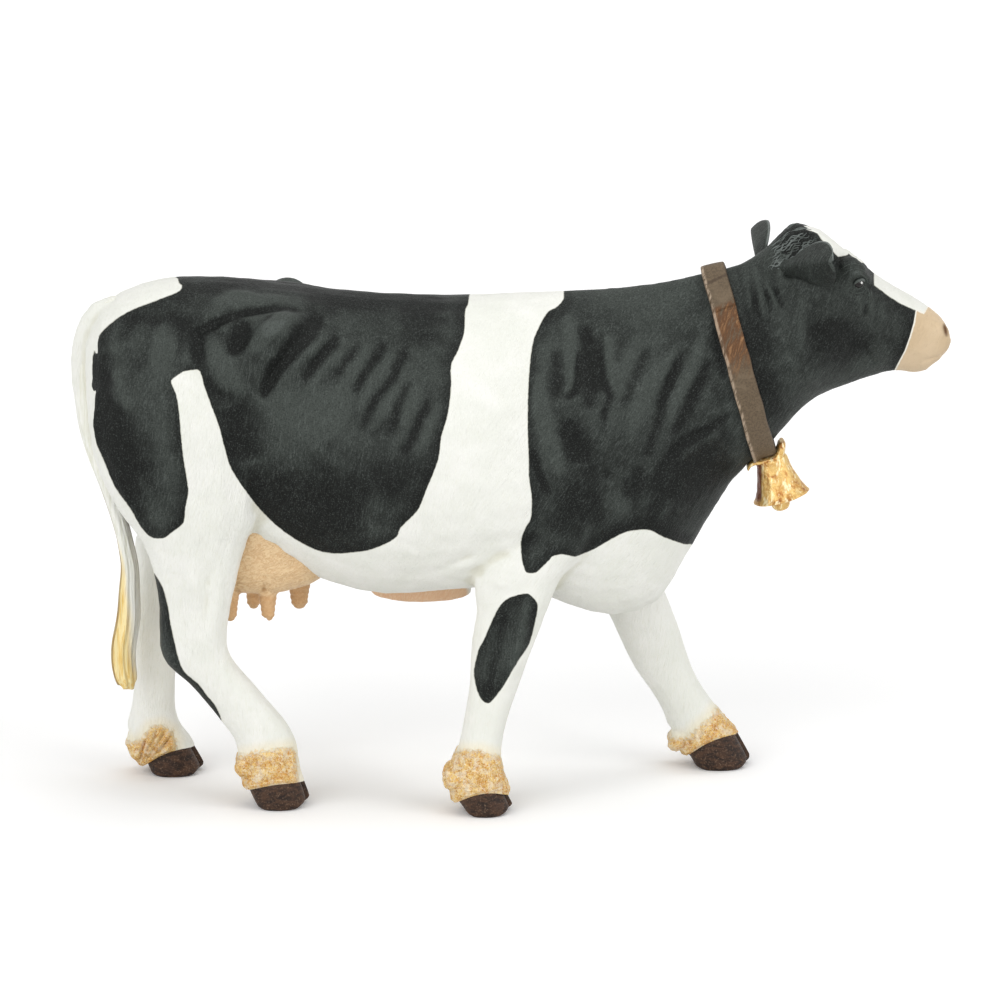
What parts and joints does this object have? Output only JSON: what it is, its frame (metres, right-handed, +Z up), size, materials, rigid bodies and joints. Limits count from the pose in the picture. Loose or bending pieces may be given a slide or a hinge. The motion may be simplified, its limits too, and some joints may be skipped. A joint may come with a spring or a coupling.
{
  "type": "toy cow figure",
  "caption": "Moulded toy dairy cow in mid stride with plug-in legs, head, ears, udder and tail, and a collar with a small bell.",
  "frame": {"origin": "under the middle of the bounding box, on the plane of the soles", "axes": "+X towards the nose, +Y towards the cow's left, +Z up"},
  "size_m": [0.135, 0.036, 0.0893],
  "materials": {
    "torso": "painted white with black patches",
    "head": "painted black with a white blaze and a pale muzzle",
    "ear": "painted black",
    "leg": "painted white with black patches, ochre fetlocks and dark hooves",
    "udder": "painted pink with a brown wash",
    "tail": "painted white with an ochre switch",
    "collar": "painted as worn brown leather",
    "bell": "gold paint with a brown wash"
  },
  "bodies": {
    "root": {"torso": "torso", "head": "head", "right_ear": "ear", "left_ear": "ear", "front_right_leg": "leg", "front_left_leg": "leg", "hind_right_leg": "leg", "hind_left_leg": "leg", "udder": "udder", "tail": "tail", "collar": "collar", "bell": "bell", "clapper": "bell"}
  },
  "joints": []
}
